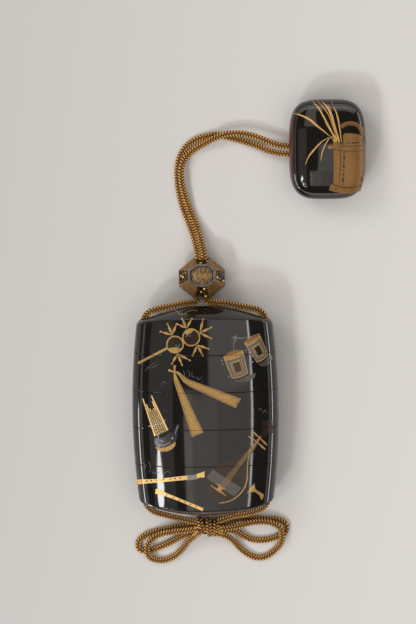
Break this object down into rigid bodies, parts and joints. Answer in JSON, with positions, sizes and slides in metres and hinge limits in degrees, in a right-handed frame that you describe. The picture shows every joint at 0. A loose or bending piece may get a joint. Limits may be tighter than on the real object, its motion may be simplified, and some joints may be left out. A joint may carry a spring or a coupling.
{
  "type": "inro case",
  "caption": "Lacquered inro of nested hollow cases on a doubled silk cord, with a faceted slide bead, a rounded box toggle and a tied bow, lying on its back.",
  "frame": {"origin": "middle of the small flat on the case's back, which lies on the surface below", "axes": "+Y along the stack from the base to the lid, +Z out of the decorated front, +X to the right as the front is seen"},
  "size_m": [0.0918, 0.185, 0.0237],
  "materials": {
    "black_lacquer": "polished black urushi lacquer over wood, with thin gold, silver and brown sprinkled pictures",
    "netsuke_lacquer": "polished black lacquer over wood, worn red-brown along one edge, with gold and silver sprinkled pictures",
    "gilt_metal": "gilt metal, facets alternately plain and black with gold flakes",
    "silk_cord": "flat braided golden brown silk"
  },
  "bodies": {
    "root": {"base": "black_lacquer", "case_lower": "black_lacquer", "case_middle": "black_lacquer", "case_upper": "black_lacquer", "lid": "black_lacquer", "ojime_bead": "gilt_metal", "netsuke": "netsuke_lacquer", "cord": "silk_cord", "bow_knot": "silk_cord", "bow_loop_left_front": "silk_cord", "bow_loop_left_back": "silk_cord", "bow_loop_right_front": "silk_cord", "bow_loop_right_back": "silk_cord"}
  },
  "joints": []
}
